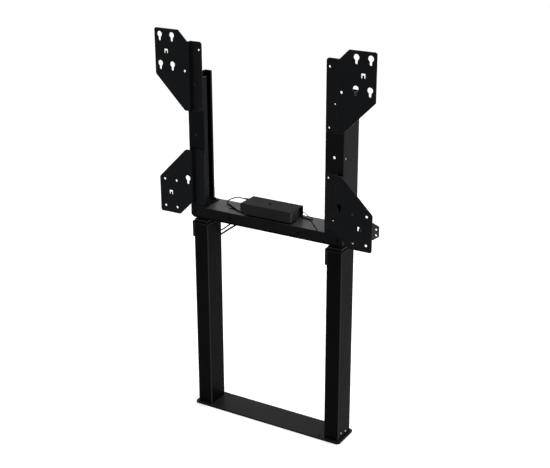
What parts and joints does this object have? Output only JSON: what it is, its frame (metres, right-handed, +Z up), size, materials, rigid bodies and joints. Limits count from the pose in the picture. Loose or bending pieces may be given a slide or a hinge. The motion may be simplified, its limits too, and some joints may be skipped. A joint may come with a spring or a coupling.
{
  "type": "tv lift mechanism",
  "caption": "Motorised display lift with a base plate, telescopic columns, a head beam, uprights and plates with a standard display hole grid.",
  "frame": {"origin": "centre of the base plate's underside, on the floor, fully lowered", "axes": "+Z up along the lift, +X to the right of a viewer who faces the display side, +Y to the back; the display hangs on the -Y side"},
  "size_m": [0.842, 0.136, 1.425],
  "materials": {
    "black_powder_coat": "fine satin powder coat",
    "black_plastic": "moulded, matte",
    "black_screw": "black oxide",
    "zinc_steel": "zinc plated",
    "machined_steel": "machined, oiled",
    "bronze": "cast and turned",
    "lead_jacket": "smooth jacket"
  },
  "bodies": {
    "base": {"base_plate": "black_powder_coat", "foot_blocks": "machined_steel", "foot_bolts": "zinc_steel", "outer_tube_left": "black_powder_coat", "outer_tube_right": "black_powder_coat", "outer_rim_left": "black_plastic", "outer_rim_right": "black_plastic", "switch_housing_left": "black_plastic", "switch_housing_right": "black_plastic", "nut_post_left": "machined_steel", "nut_post_right": "machined_steel", "post_nuts": "bronze"},
    "middle_left": {"middle_tube_left": "black_powder_coat", "middle_collar_left": "black_plastic", "middle_foot_left": "black_plastic", "middle_post_left": "machined_steel", "middle_nut_left": "bronze", "spindle_bearing_left": "machined_steel"},
    "middle_right": {"middle_tube_right": "black_powder_coat", "middle_collar_right": "black_plastic", "middle_foot_right": "black_plastic", "middle_post_right": "machined_steel", "middle_nut_right": "bronze", "spindle_bearing_right": "machined_steel"},
    "hollow_spindle_left": {"hollow_spindle_left": "machined_steel"},
    "hollow_spindle_right": {"hollow_spindle_right": "machined_steel"},
    "drive_spindle_left": {"drive_spindle_left": "machined_steel"},
    "drive_spindle_right": {"drive_spindle_right": "machined_steel"},
    "carriage": {"inner_tube_left": "black_powder_coat", "inner_tube_right": "black_powder_coat", "inner_feet": "black_plastic", "gearmotor_left": "zinc_steel", "gearmotor_right": "zinc_steel", "head_plates": "black_powder_coat", "head_bolts": "zinc_steel", "saddles": "black_powder_coat", "beam": "black_powder_coat", "beam_tray": "black_powder_coat", "tray_screws": "black_screw", "upright_left": "black_powder_coat", "upright_right": "black_powder_coat", "upright_feet": "black_powder_coat", "upright_bolts": "zinc_steel", "upper_plate_left": "black_powder_coat", "upper_plate_right": "black_powder_coat", "lower_plate_left": "black_powder_coat", "lower_plate_right": "black_powder_coat", "rear_lug_left": "zinc_steel", "rear_lug_right": "zinc_steel", "lug_bolts": "zinc_steel", "psu_cover": "black_powder_coat", "psu_unit": "black_plastic", "psu_screw": "black_screw", "control_box": "black_plastic", "strain_relief": "lead_jacket", "power_lead": "lead_jacket", "signal_lead": "lead_jacket", "column_lead_upper": "lead_jacket", "column_lead_lower": "lead_jacket"}
  },
  "joints": [
    {"name": "lift", "type": "slide", "parent": "base", "child": "carriage", "axis": [0, 0, 1], "range_m": [0, 0.65]},
    {"name": "middle_left_slide", "type": "slide", "parent": "base", "child": "middle_left", "axis": [0, 0, 1], "range_m": [0, 0.325]},
    {"name": "middle_right_slide", "type": "slide", "parent": "base", "child": "middle_right", "axis": [0, 0, 1], "range_m": [0, 0.325]},
    {"name": "hollow_spindle_left_turn", "type": "hinge", "parent": "middle_left", "child": "hollow_spindle_left", "pos_m": [-0.27, 0, 0.5], "axis": [0, 0, 1], "range_deg": [0, 5860]},
    {"name": "drive_spindle_left_turn", "type": "hinge", "parent": "carriage", "child": "drive_spindle_left", "pos_m": [-0.27, 0, 0.5], "axis": [0, 0, 1], "range_deg": [0, 5860]},
    {"name": "hollow_spindle_right_turn", "type": "hinge", "parent": "middle_right", "child": "hollow_spindle_right", "pos_m": [0.27, 0, 0.5], "axis": [0, 0, 1], "range_deg": [0, 5860]},
    {"name": "drive_spindle_right_turn", "type": "hinge", "parent": "carriage", "child": "drive_spindle_right", "pos_m": [0.27, 0, 0.5], "axis": [0, 0, 1], "range_deg": [0, 5860]}
  ],
  "couplings": [
    {"joint": "middle_left_slide", "follows": "lift", "ratio": 0.5},
    {"joint": "middle_right_slide", "follows": "lift", "ratio": 0.5},
    {"joint": "hollow_spindle_left_turn", "follows": "lift", "rad_per_m": 157.08},
    {"joint": "drive_spindle_left_turn", "follows": "lift", "rad_per_m": 157.08},
    {"joint": "hollow_spindle_right_turn", "follows": "lift", "rad_per_m": 157.08},
    {"joint": "drive_spindle_right_turn", "follows": "lift", "rad_per_m": 157.08}
  ]
}
